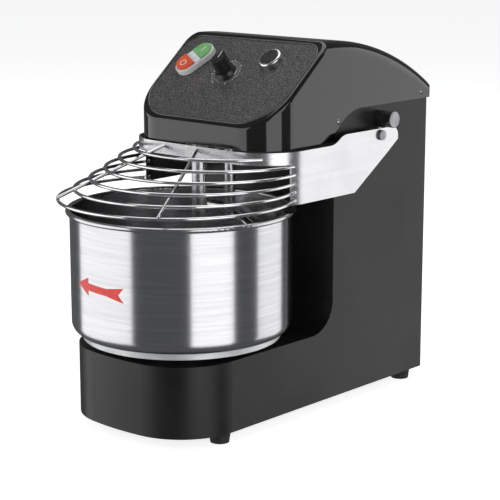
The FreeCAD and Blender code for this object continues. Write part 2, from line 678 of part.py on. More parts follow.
def round_button():
    """Black jog button in the round collar, flat-topped with a soft edge."""
    top = ROUND_BEZEL_HEIGHT + 0.6
    button = disc(ROUND_BUTTON_RADIUS, ROUND_BEZEL_HEIGHT - 2.2, top)
    edges = [e for e in button.Edges if e.BoundBox.ZMin > top - 0.01]
    return placed(button.makeFillet(0.8, edges), *ROUND_AT)


def contact_block(at, width):
    """Switch body clipped behind one of the panel's controls."""
    top = -COVER_WALL - 2 - FIT_GAP
    block = box(-width / 2, width / 2, -width / 2, width / 2, top - CONTACT_DEPTH, top)
    return placed(block.cut(disc(KNOB_SHAFT + 1, top - CONTACT_DEPTH - 1, top + 1)), *at)


def head_floor():
    """Steel plate that closes the head from below, with holes for the spiral bearing and the breaker bar."""
    inset = COVER_WALL + FIT_GAP
    plate = prism(head_outline(inset), Vector(0, 0, SHEET)).translated(Vector(0, 0, HEAD_BOTTOM))
    plate = plate.cut(box(-HEAD_HALF_WIDTH, HEAD_HALF_WIDTH, COLUMN_FRONT - FIT_GAP, HEAD_REAR, 0, COLUMN_TOP))
    plate = plate.cut(disc(SPIRAL_BEARING + FIT_GAP, 0, COLUMN_TOP, 0, SPIRAL_Y))
    for x, y in FLANGE_BOLTS:
        plate = plate.cut(disc(FLANGE_BOLT_RADIUS, 0, COLUMN_TOP, x, y))
    return plate


def head_beam():
    """Thick steel beam from the column out over the bowl; it carries the spiral, the bar and the layshaft."""
    front = HEAD_FRONT + COVER_WALL + 2 * FIT_GAP
    beam = box(-BEAM_HALF_WIDTH, BEAM_HALF_WIDTH, front, COLUMN_REAR - 3 * SHEET, BEAM_BOTTOM, BEAM_TOP)
    for radius, y in ((SPIRAL_BEARING, SPIRAL_Y), (LAYSHAFT_BEARING, LAYSHAFT_Y)):
        beam = beam.cut(disc(radius, 0, COLUMN_TOP, 0, y))
    for x, y in FLANGE_BOLTS:
        beam = beam.cut(disc(FLANGE_BOLT_RADIUS, 0, COLUMN_TOP, x, y))
    return beam


def beam_bracket(side):
    """Angle that bolts one side of the beam to the column's wall."""
    wall = side * (BODY_HALF_WIDTH - SHEET)
    inner = side * BEAM_HALF_WIDTH
    foot_box = box(min(wall, inner), max(wall, inner), COLUMN_FRONT + 4 * SHEET, STOP_Y - STOP_RADIUS - 20,
                   BEAM_TOP, BEAM_TOP + BRACKET_SHEET)
    return foot_box.fuse(box(min(wall, wall - side * BRACKET_SHEET), max(wall, wall - side * BRACKET_SHEET),
                             COLUMN_FRONT + 4 * SHEET, STOP_Y - STOP_RADIUS - 20,
                             BEAM_TOP - BEAM_LUG, BEAM_TOP + BRACKET_SHEET)).fuse(
        box(min(inner, inner - side * BEAM_LUG), max(inner, inner - side * BEAM_LUG),
            COLUMN_FRONT + 4 * SHEET, LAYSHAFT_Y - LAYSHAFT_BEARING - 6, BEAM_TOP, BEAM_TOP + BRACKET_SHEET)).removeSplitter()


def bearing(bore, outer, z0, z1, y):
    """A ball bearing seen as one ring, with the running gap to its shaft."""
    return ring(outer, bore + RUNNING_GAP, z0, z1, 0, y)


def bearing_cup(bore, outer, z0, z1, y, flange):
    """Flanged cup that holds a shaft's bearings, its flange uppermost."""
    cup = disc(outer, z0, z1, 0, y).fuse(disc(flange, z1 - BRACKET_SHEET, z1, 0, y))
    return cup.cut(disc(bore + RUNNING_GAP, z0 - 1, z1 + 1, 0, y))


def spiral_bearing():
    """Flanged bearing cup of the spiral's spindle, bolted on top of the beam."""
    return bearing_cup(SPINDLE_RADIUS, SPIRAL_BEARING, HEAD_BOTTOM - 9, BEAM_TOP + BRACKET_SHEET, SPIRAL_Y,
                       SPIRAL_BEARING + 7)


def sprocket(pitch_radius, teeth, z0, bore, x, y):
    """A toothed disc: each tooth is one step in and out of the rim."""
    tip = pitch_radius - CHAIN_THICK / 2 - FIT_GAP
    root = tip - 2.6
    points = []
    for i in range(teeth):
        for share, radius in ((0.0, root), (0.3, root), (0.45, tip), (0.8, tip)):
            angle = 2 * math.pi * (i + share) / teeth
            points.append(Vector(x + radius * math.cos(angle), y + radius * math.sin(angle), z0))
    gear = Part.Face(Part.makePolygon(points + points[:1])).extrude(Vector(0, 0, CHAIN_HEIGHT - 2))
    return gear.cut(disc(bore, z0 - 1, z0 + CHAIN_HEIGHT, x, y))


def pulley(pitch_radius, bore, y):
    """A grooved belt wheel."""
    rim = pitch_radius + 1.5
    wheel = disc(rim, BELT_Z - 6, BELT_Z + 6, 0, y)
    groove = ring(rim + 1, pitch_radius - CHAIN_THICK / 2 - FIT_GAP, BELT_Z - 4.5, BELT_Z + 4.5, 0, y)
    return wheel.cut(groove).cut(disc(bore, BELT_Z - 7, BELT_Z + 7, 0, y))


def loop(radius_a, y_a, radius_b, y_b, z0, z1):
    """A chain or belt round two wheels whose centres lie along Y, as one closed band."""
    outer = loop_solid(radius_a + CHAIN_THICK / 2, y_a, radius_b + CHAIN_THICK / 2, y_b, z0, z1)
    return outer.cut(loop_solid(radius_a - CHAIN_THICK / 2, y_a, radius_b - CHAIN_THICK / 2, y_b, z0 - 1, z1 + 1))


def loop_solid(radius_a, y_a, radius_b, y_b, z0, z1):
    """The filled shape inside a band round two circles."""
    lean = math.asin((radius_a - radius_b) / (y_b - y_a))
    edges = []
    ends = []
    for radius, y, far in ((radius_a, y_a, -1), (radius_b, y_b, 1)):
        hub = Vector(0, y, z0)
        left = hub + Vector(-math.cos(lean), math.sin(lean), 0) * radius
        right = hub + Vector(math.cos(lean), math.sin(lean), 0) * radius
        ends.append((left, right))
        edges.append(arc(left, hub + Vector(0, far * radius, 0), right))
    edges.append(line(ends[0][0], ends[1][0]))
    edges.append(line(ends[0][1], ends[1][1]))
    return prism(edges, Vector(0, 0, z1 - z0))


def bowl():
    """Spun steel bowl with a rolled rim, drawn as its wall turned about the axis."""
    outer_r = BOWL_RADIUS
    inner_r = BOWL_RADIUS - BOWL_WALL
    hub_r = outer_r - BOWL_CORNER_RADIUS
    hub_z = BOWL_BOTTOM + BOWL_CORNER_RADIUS
    slant = math.sqrt(0.5)
    inner_corner = BOWL_CORNER_RADIUS - BOWL_WALL
    points = [Vector(0, 0, BOWL_BOTTOM), Vector(hub_r, 0, BOWL_BOTTOM),
              Vector(hub_r + BOWL_CORNER_RADIUS * slant, 0, hub_z - BOWL_CORNER_RADIUS * slant),
              Vector(outer_r, 0, hub_z), Vector(outer_r, 0, BOWL_RIM), Vector(inner_r, 0, BOWL_RIM),
              Vector(inner_r, 0, hub_z), Vector(hub_r + inner_corner * slant, 0, hub_z - inner_corner * slant),
              Vector(hub_r, 0, BOWL_INSIDE), Vector(0, 0, BOWL_INSIDE)]
    edges = [line(points[0], points[1]), arc(points[1], points[2], points[3]), line(points[3], points[4]),
             line(points[4], points[5]), line(points[5], points[6]), arc(points[6], points[7], points[8]),
             line(points[8], points[9]), line(points[9], points[0])]
    wall = Part.Face(Part.Wire(edges)).revolve(Vector(), Z_AXIS, 360)
    bead = Part.makeTorus(outer_r + BOWL_BEAD_RADIUS - BOWL_WALL, BOWL_BEAD_RADIUS, Vector(0, 0, BOWL_RIM))
    return wall.fuse(bead)


def bowl_ring():
    """Pale ring under the bowl that spreads its weight on the turning hub."""
    outer = BOWL_RADIUS - BOWL_CORNER_RADIUS
    return ring(outer, outer - BOWL_RING_WIDTH, BOWL_SEAT, BOWL_BOTTOM)


def bowl_shaft():
    """Flanged stub shaft under the bowl."""
    flange = disc(BOWL_FLANGE_RADIUS, BOWL_BOTTOM - 6, BOWL_BOTTOM)
    return flange.fuse(disc(BOWL_SHAFT_RADIUS, FOOT_HEIGHT + BOTTOM_PLATE + 4, BOWL_BOTTOM - 6))


def bowl_bearing():
    """Flanged bearing cup of the bowl's shaft, standing in the base's top."""
    cup = ring(BOWL_BEARING_OUTER - FIT_GAP, BOWL_SHAFT_RADIUS + RUNNING_GAP, LOW_CHAIN_Z + 14, BASE_TOP + 2)
    return cup.fuse(ring(BOWL_BEARING_OUTER + 8, BOWL_BEARING_OUTER - 2, BASE_TOP, BASE_TOP + 2))


def spiral_spindle():
    """Upper shaft of the spiral, in its bearings, with a step for the top sprocket."""
    return disc(SPINDLE_RADIUS, HEAD_BOTTOM - 10, TOP_CHAIN_Z + CHAIN_HEIGHT, 0, SPIRAL_Y)


def spiral_hook():
    """The kneading tool: a round shank, a crank out to the coil, and the coil down to the bowl's bottom."""
    lowest = BOWL_INSIDE + SPIRAL_FLOOR_GAP + ROD_RADIUS
    drop = SPIRAL_TOP - lowest
    helix = Part.makeHelix(drop / SPIRAL_TURNS, drop, SPIRAL_RADIUS)
    circle = Part.Wire(Part.makeCircle(ROD_RADIUS, Vector(SPIRAL_RADIUS, 0, 0), Y_AXIS))
    coil = Part.Wire(helix).makePipeShell([circle], True, True)
    coil.rotate(Vector(), Z_AXIS, 90)
    coil.translate(Vector(0, SPIRAL_Y, lowest))
    end_angle = math.radians(90 + 360 * SPIRAL_TURNS)
    axis = Vector(0, SPIRAL_Y, SPIRAL_TOP)
    end = on_circle(axis, SPIRAL_RADIUS, end_angle)
    start = on_circle(Vector(0, SPIRAL_Y, lowest), SPIRAL_RADIUS, math.radians(90))
    crank = Part.makeCylinder(ROD_RADIUS, SPIRAL_RADIUS, axis, end - axis)
    shank = disc(ROD_RADIUS, SPIRAL_TOP, HEAD_BOTTOM - 10, 0, SPIRAL_Y)
    hook = shank.fuse([crank, coil] + [Part.makeSphere(ROD_RADIUS, p) for p in (axis, end, start)])
    return hook


def breaker_bar():
    """Fixed upright bar that holds the dough back, with a flange bolted under the head's floor."""
    low = BOWL_INSIDE + BREAKER_FLOOR_GAP
    bar = disc(BREAKER_RADIUS, low, HEAD_BOTTOM - FIT_GAP, 0, BREAKER_Y)
    bar = bar.makeFillet(BREAKER_RADIUS / 3, [e for e in bar.Edges if e.BoundBox.ZMax < low + 0.01])
    flange = box(-FLANGE_HALF_WIDTH, FLANGE_HALF_WIDTH, FLANGE_FRONT, FLANGE_FRONT + FLANGE_DEPTH,
                 HEAD_BOTTOM - FLANGE_SHEET, HEAD_BOTTOM)
    bar = bar.fuse(flange)
    for x, y in FLANGE_BOLTS:
        bar = bar.cut(disc(FLANGE_BOLT_RADIUS, HEAD_BOTTOM - 2 * FLANGE_SHEET, HEAD_BOTTOM + 1, x, y))
    return bar


def hexagon(radius, z0, z1, x, y):
    """An upright hexagonal prism."""
    corners = [Vector(x + radius * math.cos(math.radians(60 * i)), y + radius * math.sin(math.radians(60 * i)), z0)
               for i in range(6)]
    return Part.Face(Part.makePolygon(corners + corners[:1])).extrude(Vector(0, 0, z1 - z0))


def breaker_bolts():
    """The bar's two bolts: heads under its flange, nuts on top of the beam."""
    bolts = []
    for x, y in FLANGE_BOLTS:
        shank = disc(FLANGE_BOLT_RADIUS, HEAD_BOTTOM - FLANGE_SHEET, BEAM_TOP + 7, x, y)
        head = hexagon(5.8, HEAD_BOTTOM - FLANGE_SHEET - 4, HEAD_BOTTOM - FLANGE_SHEET, x, y)
        nut = hexagon(5.8, BEAM_TOP, BEAM_TOP + 5, x, y)
        bolts.append(shank.fuse([head, nut]))
    return Part.makeCompound(bolts)


def guard_outline(inset):
    """The guard's sheet in plan: straight front strip, large corners, two straight arms."""
    half = ARM_HALF_WIDTH - inset
    corner = GUARD_CORNER_RADIUS - inset
    front = GUARD_FRONT + inset
    rear = PIVOT_Y + ARM_TAIL
    edges = [line(Vector(-half + corner, front, 0), Vector(half - corner, front, 0))]
    for _, side in SIDES:
        hub = Vector(side * (half - corner), front + corner, 0)
        turn = hub + Vector(side, -1, 0).normalize() * corner
        edges.append(arc(Vector(hub.x, front, 0), turn, Vector(side * half, hub.y, 0)))
        edges.append(line(Vector(side * half, hub.y, 0), Vector(side * half, rear + inset, 0)))
    edges.append(line(Vector(-half, rear + inset, 0), Vector(half, rear + inset, 0)))
    return edges


def arm_profile():
    """One arm seen from the side, with the strip that runs on to the front."""
    rear = PIVOT_Y + ARM_TAIL
    low = PIVOT_Z - ARM_UNDER_PIVOT
    ahead = GUARD_FRONT - 1
    step_front = PIVOT_Y - ARM_STEP_START
    step_rear = PIVOT_Y - ARM_STEP_END
    step_height = ARM_TOP - STRIP_TOP
    middle = Vector(0, (step_front + step_rear) / 2, STRIP_TOP + step_height / 2)
    points = [Vector(0, ahead, STRIP_BOTTOM), Vector(0, ARM_FRONT, STRIP_BOTTOM),
              Vector(0, ARM_FRONT, ARM_BOTTOM), Vector(0, PIVOT_Y - ARM_HEEL, ARM_BOTTOM),
              Vector(0, rear - ARM_TAIL_CUT, low), Vector(0, rear, low + ARM_TAIL_CUT * 0.7),
              Vector(0, rear, ARM_TOP - ARM_RADIUS), Vector(0, rear - ARM_RADIUS, ARM_TOP),
              Vector(0, step_rear, ARM_TOP), middle, Vector(0, step_front, STRIP_TOP),
              Vector(0, ahead, STRIP_TOP)]
    edges = [line(points[i], points[i + 1]) for i in range(6)]
    hub = Vector(0, rear - ARM_RADIUS, ARM_TOP - ARM_RADIUS)
    edges.append(arc(points[6], hub + Vector(0, 1, 1).normalize() * ARM_RADIUS, points[7]))
    edges.append(line(points[7], points[8]))
    quarter = (step_rear - step_front) / 4
    sink = step_height * 0.13
    edges.append(arc(points[8], Vector(0, step_rear - quarter, ARM_TOP - sink), middle))
    edges.append(arc(middle, Vector(0, step_front + quarter, STRIP_TOP + sink), points[10]))
    edges.append(line(points[10], points[11]))
    edges.append(line(points[11], points[0]))
    return edges


def guard_frame():
    """Polished steel sheet bent to a U: two arms and the strip in front of the head."""
    height = ARM_TOP - ARM_BOTTOM + 2
    inner = prism(guard_outline(ARM_SHEET), Vector(0, 0, height + 2)).translated(Vector(0, 0, ARM_BOTTOM - 2))
    sheet = prism(guard_outline(0.0), Vector(0, 0, height)).translated(Vector(0, 0, ARM_BOTTOM - 1)).cut(inner)
    width = 2 * ARM_HALF_WIDTH + 2
    sheet = sheet.common(prism(arm_profile(), Vector(width, 0, 0)).translated(Vector(-width / 2, 0, 0)))
    for _, side in SIDES:
        hole = side_pin(PIVOT_RADIUS + RUNNING_GAP, side * (ARM_INNER - 2), side * (ARM_HALF_WIDTH + 2),
                        PIVOT_Y, PIVOT_Z)
        sheet = sheet.cut(hole)
    return sheet


def hoop_height(index):
    """Height of one guard wire."""
    return HOOP_LOW_Z + index * HOOP_RISE


def hoop_arc(index):
    """One guard wire's line: an arc from arm to arm. The top one is shorter and ends at the strip's corners."""
    z = hoop_height(index)
    front = HOOP_FRONT + index * HOOP_STEP
    end_x = ARM_INNER - HOOP_WIRE + WELD
    end_y = HOOP_END_Y
    if index == HOOP_COUNT - 1:
        end_x = TOP_HOOP_HALF
        end_y = GUARD_FRONT + GUARD_CORNER_RADIUS - math.sqrt(
            (GUARD_CORNER_RADIUS + HOOP_WIRE - WELD) ** 2
            - (end_x - ARM_HALF_WIDTH + GUARD_CORNER_RADIUS) ** 2)
    return Part.Arc(Vector(-end_x, end_y, z), Vector(0, front, z), Vector(end_x, end_y, z))


def guard_hoop(index):
    """One bent wire of the guard."""
    curve = hoop_arc(index)
    start = curve.value(curve.FirstParameter)
    direction = Vector(*curve.tangent(curve.FirstParameter)[0])
    circle = Part.Wire(Part.makeCircle(HOOP_WIRE, start, direction))
    return Part.Wire(curve.toShape()).makePipeShell([circle], True, True)


def guard_rod(side):
    """Straight wire over the hoops on one side, from the lowest hoop up to the strip."""
    low_curve = hoop_arc(0).toShape().Curve
    angle = math.radians(-90 + side * ROD_LOW_ANGLE)
    low = on_circle(low_curve.Center, low_curve.Radius + HOOP_WIRE / 2, angle)
    lift = 2 * HOOP_WIRE - WELD / 2
    low = low + Vector(0, 0, lift)
    high = Vector(ROD_TOP_SHIFT + side * ROD_TOP_SPACING / 2, GUARD_FRONT + ARM_SHEET / 2, hoop_height(HOOP_COUNT - 1) + lift)
    rod = Part.makeCylinder(HOOP_WIRE, (high - low).Length, low, high - low)
    return rod.fuse(Part.makeSphere(HOOP_WIRE, low))


def pivot_bolt(side):
    """Shoulder bolt on which one guard arm turns, its round head outside the arm."""
    inside = side * (BODY_HALF_WIDTH - SHEET)
    outside = side * (ARM_HALF_WIDTH + FIT_GAP)
    shank = side_pin(PIVOT_RADIUS, inside, outside, PIVOT_Y, PIVOT_Z)
    head = side_pin(6.2, outside, outside + side * 3.0, PIVOT_Y, PIVOT_Z)
    nut = side_pin(7.0, inside - side * 5.0, inside, PIVOT_Y, PIVOT_Z)
    return shank.fuse([head, nut]).removeSplitter()


def guard_spacer(side):
    """Washer stack that holds the arm off the column."""
    inner = side * BODY_HALF_WIDTH
    outer = side * (ARM_INNER - FIT_GAP)
    sleeve = side_pin(SPACER_RADIUS, inner, outer, PIVOT_Y, PIVOT_Z)
    return sleeve.cut(side_pin(PIVOT_RADIUS, inner, outer, PIVOT_Y, PIVOT_Z))


def stop_pin(side):
    """Round stop above the arm's tail: it holds the closed guard level."""
    wall = side * BODY_HALF_WIDTH
    pin = side_pin(STOP_RADIUS, wall, side * STOP_END, STOP_Y, STOP_Z)
    shank = side_pin(STOP_SHANK, wall - side * (SHEET + 6), wall, STOP_Y, STOP_Z)
    ends = [e for e in pin.Edges if abs(e.CenterOfMass.x) > STOP_END - 0.01]
    return pin.makeFillet(0.8, ends).fuse(shank)


def cover_screws():
    """Four screws through the head cover's skirt into the column."""
    outer = HEAD_HALF_WIDTH
    heads = []
    for _, side in SIDES:
        for y, z in COVER_SCREWS:
            heads.append(screw_head(Vector(side * outer, y, z), Vector(side, 0, 0), COVER_SCREW_RADIUS))
    return Part.makeCompound(heads)


def motor():
    """Induction motor with cooling fins, hung shaft-up under its bracket."""
    body = disc(MOTOR_RADIUS, BELT_Z - 22 - MOTOR_HEIGHT, BELT_Z - 22, 0, MOTOR_Y)
    fins = [ring(MOTOR_RADIUS + 1, MOTOR_RADIUS - 2, BELT_Z - 12 - MOTOR_HEIGHT + 12 * i, BELT_Z - 7 - MOTOR_HEIGHT + 12 * i, 0, MOTOR_Y)
            for i in range(12)]
    return body.cut(Part.makeCompound(fins)).cut(disc(MOTOR_SHAFT_RADIUS + RUNNING_GAP, BELT_Z - 60, BELT_Z, 0, MOTOR_Y))


def motor_rotor():
    """Motor shaft that drives the belt pulley."""
    return disc(MOTOR_SHAFT_RADIUS, BELT_Z - 58, BELT_Z + 10, 0, MOTOR_Y)


def motor_bracket():
    """Cross plate between the column's walls that the motor hangs from."""
    half = BODY_HALF_WIDTH - SHEET
    z0 = BELT_Z - 22
    plate = box(-half, half, LAYSHAFT_Y + LAYSHAFT_RADIUS + 6, COLUMN_REAR - 3 * SHEET, z0, z0 + BRACKET_SHEET)
    return plate.cut(disc(9.0, z0 - 1, z0 + BRACKET_SHEET + 1, 0, MOTOR_Y))


def layshaft():
    """Upright shaft in the column that takes the motor's turning to both chains."""
    return disc(LAYSHAFT_RADIUS, FOOT_HEIGHT + BOTTOM_PLATE + 2, TOP_CHAIN_Z + CHAIN_HEIGHT, 0, LAYSHAFT_Y)


def layshaft_foot():
    """Flanged bearing cup of the layshaft, standing on the bottom plate."""
    z0 = FOOT_HEIGHT + BOTTOM_PLATE
    cup = disc(LAYSHAFT_BEARING, z0, z0 + 20, 0, LAYSHAFT_Y).fuse(disc(32.0, z0, z0 + 3, 0, LAYSHAFT_Y))
    return cup.cut(disc(LAYSHAFT_RADIUS + RUNNING_GAP, z0 + 1, z0 + 21, 0, LAYSHAFT_Y))


def guard_switch():
    """Safety switch inside the column beside the right-hand pivot."""
    wall = BODY_HALF_WIDTH - SHEET
    return box(wall - 14, wall, PIVOT_Y + 10, PIVOT_Y + 34, PIVOT_Z - 40, PIVOT_Z - 8)


def make_nodes():
    """Every piece by its name."""
    nodes = {
        "body_shell": body_shell(),
        "bottom_plate": bottom_plate(),
        "rear_cover": rear_cover(),
        "rear_cover_screws": rear_cover_screws(),
        "cable_gland": cable_gland(),
        "head_cover": head_cover(),
        "cover_screws": cover_screws(),
        "control_panel": control_panel(),
        "dual_button_bezel": dual_bezel(),
        "start_button": start_button(),
        "stop_button": stop_button(),
        "pilot_lamp": pilot_lamp(),
        "timer_dial": timer_dial(),
        "timer_knob": timer_knob(),
        "jog_button_bezel": round_bezel(),
        "jog_button": round_button(),
        "dual_contact_block": contact_block(DUAL_AT, CONTACT_WIDTH),
        "timer_clockwork": contact_block(KNOB_AT, CLOCKWORK_WIDTH),
        "jog_contact_block": contact_block(ROUND_AT, CONTACT_WIDTH),
        "head_floor": head_floor(),
        "head_beam": head_beam(),
        "spiral_bearing": spiral_bearing(),
        "breaker_bar": breaker_bar(),
        "breaker_bolts": breaker_bolts(),
        "bowl": bowl(),
        "bowl_ring": bowl_ring(),
        "bowl_shaft": bowl_shaft(),
        "bowl_bearing": bowl_bearing(),
        "bowl_sprocket": sprocket(BOWL_SPROCKET, 40, LOW_CHAIN_Z + 1, BOWL_SHAFT_RADIUS, 0, 0),
        "lower_chain": loop(BOWL_SPROCKET, 0, LOW_SPROCKET, LAYSHAFT_Y, LOW_CHAIN_Z, LOW_CHAIN_Z + CHAIN_HEIGHT),
        "spiral_spindle": spiral_spindle(),
        "spiral_hook": spiral_hook(),
        "spiral_sprocket": sprocket(SPIRAL_SPROCKET, 14, TOP_CHAIN_Z + 1, SPINDLE_RADIUS, 0, SPIRAL_Y),
        "upper_chain": loop(SPIRAL_SPROCKET, SPIRAL_Y, TOP_SPROCKET, LAYSHAFT_Y, TOP_CHAIN_Z,
                            TOP_CHAIN_Z + CHAIN_HEIGHT),
        "layshaft": layshaft(),
        "layshaft_low_sprocket": sprocket(LOW_SPROCKET, 12, LOW_CHAIN_Z + 1, LAYSHAFT_RADIUS, 0, LAYSHAFT_Y),
        "layshaft_top_sprocket": sprocket(TOP_SPROCKET, 28, TOP_CHAIN_Z + 1, LAYSHAFT_RADIUS, 0, LAYSHAFT_Y),
        "layshaft_pulley": pulley(LAYSHAFT_PULLEY, LAYSHAFT_RADIUS, LAYSHAFT_Y),
        "layshaft_top_bearing": bearing(LAYSHAFT_RADIUS, LAYSHAFT_BEARING, BEAM_BOTTOM, BEAM_TOP, LAYSHAFT_Y),
        "layshaft_foot_bearing": layshaft_foot(),
        "motor": motor(),
        "motor_bracket": motor_bracket(),
        "motor_shaft": motor_rotor(),
        "motor_pulley": pulley(MOTOR_PULLEY, MOTOR_SHAFT_RADIUS, MOTOR_Y),
        "drive_belt": loop(LAYSHAFT_PULLEY, LAYSHAFT_Y, MOTOR_PULLEY, MOTOR_Y, BELT_Z - 4, BELT_Z + 4),
        "guard_frame": guard_frame(),
        "guard_switch": guard_switch(),
    }
    for name, x, y in foot_places():
        nodes[name] = foot(x, y)
    for name, side in SIDES:
        nodes["pivot_bolt_" + name] = pivot_bolt(side)
        nodes["guard_stop_" + name] = stop_pin(side)
    nodes["guard_hoops"] = Part.makeCompound([guard_hoop(i) for i in range(HOOP_COUNT)])
    nodes["guard_rods"] = Part.makeCompound([guard_rod(side) for _, side in SIDES])
    nodes["guard_spacers"] = Part.makeCompound([guard_spacer(side) for _, side in SIDES])
    nodes["beam_brackets"] = Part.makeCompound([beam_bracket(side) for _, side in SIDES])
    return nodes


def main():
    os.makedirs("parts", exist_ok=True)
    nodes = make_nodes()
    for name, shape in nodes.items():
        shape = shape.translated(-ORIGIN)
        for solid in shape.Solids:
            if not solid.isValid():
                print("not valid:", name)
        print(name, len(shape.Solids), round(shape.Volume / 1000.0, 2))
        shape.exportStep("parts/" + name + ".step")


main()
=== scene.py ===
"""The looks of a worktop spiral dough mixer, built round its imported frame.

A turning steel bowl on a low black base, a column behind it, and a glossy head that holds the kneading
spiral and the breaker bar over the bowl. Each section below is one piece of the machine, or one group of
like pieces, in the order in which the maker puts them together.
"""
import math

import bpy
import numpy as np
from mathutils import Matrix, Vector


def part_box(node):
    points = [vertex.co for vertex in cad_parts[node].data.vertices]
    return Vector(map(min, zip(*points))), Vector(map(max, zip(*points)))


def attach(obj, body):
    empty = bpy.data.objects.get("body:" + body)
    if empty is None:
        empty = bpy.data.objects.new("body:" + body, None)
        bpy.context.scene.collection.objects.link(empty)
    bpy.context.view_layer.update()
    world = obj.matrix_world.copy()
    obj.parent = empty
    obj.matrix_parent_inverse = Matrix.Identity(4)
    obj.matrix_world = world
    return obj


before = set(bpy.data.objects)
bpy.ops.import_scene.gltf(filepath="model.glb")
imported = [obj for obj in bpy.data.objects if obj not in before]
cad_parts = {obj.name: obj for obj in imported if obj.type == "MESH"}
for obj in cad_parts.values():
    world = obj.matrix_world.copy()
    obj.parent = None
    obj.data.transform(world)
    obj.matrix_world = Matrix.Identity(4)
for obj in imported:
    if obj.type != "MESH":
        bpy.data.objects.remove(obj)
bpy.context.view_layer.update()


# Base and column. One welded steel housing, powder coated in satin black, with a fine orange-peel skin
# that breaks up the reflections. The bottom plate, the rear cover and the head's floor have the same coat.
def new_finish(name, colour, roughness, metallic=0.0):
    """An empty finish: one Principled shader with its plain values, and the object's own coordinates."""
    finish = bpy.data.materials.new(name)
    finish.use_nodes = True
    tree = finish.node_tree
    shader = tree.nodes["Principled BSDF"]
    shader.inputs["Base Color"].default_value = (*colour, 1.0)
    shader.inputs["Roughness"].default_value = roughness
    shader.inputs["Metallic"].default_value = metallic
    place = tree.nodes.new("ShaderNodeTexCoord")
    return finish, tree, shader, place.outputs["Object"]


def grain(tree, place, scale, detail=4.0, stretch=(1.0, 1.0, 1.0)):
    """Noise of so many cells per metre, drawn out along an axis whose stretch is below one."""
    mapping = tree.nodes.new("ShaderNodeMapping")
    mapping.inputs["Scale"].default_value = stretch
    noise = tree.nodes.new("ShaderNodeTexNoise")
    noise.inputs["Scale"].default_value = scale
    noise.inputs["Detail"].default_value = detail
    tree.links.new(place, mapping.inputs["Vector"])
    tree.links.new(mapping.outputs["Vector"], noise.inputs["Vector"])
    return noise.outputs["Fac"]


def spread(tree, value, low, high, socket, start=0.3, end=0.7):
    """Sends noise to a socket as a number between low and high."""
    ramp = tree.nodes.new("ShaderNodeMapRange")
    ramp.inputs["From Min"].default_value = start
    ramp.inputs["From Max"].default_value = end
    ramp.inputs["To Min"].default_value = low
    ramp.inputs["To Max"].default_value = high
    tree.links.new(value, ramp.inputs["Value"])
    tree.links.new(ramp.outputs["Result"], socket)


def tint(tree, value, low, high, socket, start=0.35, end=0.65):
    """Sends noise to a colour socket as a colour between low and high."""
    ramp = tree.nodes.new("ShaderNodeValToRGB")
    ramp.color_ramp.elements[0].position = start
    ramp.color_ramp.elements[0].color = (*low, 1.0)
    ramp.color_ramp.elements[1].position = end
    ramp.color_ramp.elements[1].color = (*high, 1.0)
    tree.links.new(value, ramp.inputs["Fac"])
    tree.links.new(ramp.outputs["Color"], socket)


def relief(tree, value, shader, height, strength=1.0):
    """Turns noise into a bump of so many metres on the shader's normal."""
    bump = tree.nodes.new("ShaderNodeBump")
    bump.inputs["Distance"].default_value = height
    bump.inputs["Strength"].default_value = strength
    tree.links.new(value, bump.inputs["Height"])
    tree.links.new(bump.outputs["Normal"], shader.inputs["Normal"])


def wear(finish, *names):
    """Gives a finish to pieces of the frame."""
    for name in names:
        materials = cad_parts[name].data.materials
        materials.clear()
        materials.append(finish)


powder_coat, tree, shader, place = new_finish("powder_coat", (0.009, 0.0083, 0.008), 0.36)
shader.inputs["Specular IOR Level"].default_value = 0.32
peel = grain(tree, place, 900.0, 3.0)
relief(tree, peel, shader, 0.00005, 0.35)
patches = grain(tree, place, 14.0, 3.0)
spread(tree, patches, 0.31, 0.42, shader.inputs["Roughness"])
tint(tree, patches, (0.0075, 0.007, 0.0068), (0.0105, 0.0097, 0.0092), shader.inputs["Base Color"])
wear(powder_coat, "body_shell", "bottom_plate", "rear_cover", "head_floor")


# Head cover. A deep moulding in high-gloss black, polished to a mirror, with the slight waviness that a
# large moulded wall has. It is screwed over the head's beam and the column's top.
gloss_black, tree, shader, place = new_finish("gloss_black", (0.006, 0.006, 0.0065), 0.09)
shader.inputs["Coat Weight"].default_value = 0.35
shader.inputs["Coat Roughness"].default_value = 0.04
waves = grain(tree, place, 9.0, 2.0)
relief(tree, waves, shader, 0.0006, 0.25)
haze = grain(tree, place, 60.0, 5.0)
spread(tree, haze, 0.07, 0.13, shader.inputs["Roughness"])
wear(gloss_black, "head_cover")


# Control panel. A plate with a coarse crinkle finish: black lacquer that has dried into small ridges,
# whose tops catch the light; pale flecks painted into the colour stand for those glints. It lies in the head
# cover's recess.
crinkle, tree, shader, place = new_finish("crinkle_lacquer_painted_glints", (0.05, 0.05, 0.05), 0.42)
ridges = tree.nodes.new("ShaderNodeTexVoronoi")
ridges.feature = "DISTANCE_TO_EDGE"
ridges.inputs["Scale"].default_value = 520.0
bend = tree.nodes.new("ShaderNodeMixRGB")
bend.blend_type = "ADD"
bend.inputs["Fac"].default_value = 0.004
swirl = tree.nodes.new("ShaderNodeTexNoise")
swirl.inputs["Scale"].default_value = 260.0
tree.links.new(place, swirl.inputs["Vector"])
tree.links.new(place, bend.inputs["Color1"])
tree.links.new(swirl.outputs["Color"], bend.inputs["Color2"])
tree.links.new(bend.outputs["Color"], ridges.inputs["Vector"])
# Painted highlight: pale flecks in the base colour stand for light caught on the ridge tops, and the same noise
# makes them a little glossier.
painted_glint_flecks = grain(tree, place, 640.0, 6.0)
tint(tree, painted_glint_flecks, (0.016, 0.0155, 0.0155), (0.15, 0.145, 0.14), shader.inputs["Base Color"], 0.44, 0.66)
relief(tree, ridges.outputs["Distance"], shader, 0.0006, 0.8)
spread(tree, painted_glint_flecks, 0.5, 0.3, shader.inputs["Roughness"])
wear(crinkle, "control_panel")


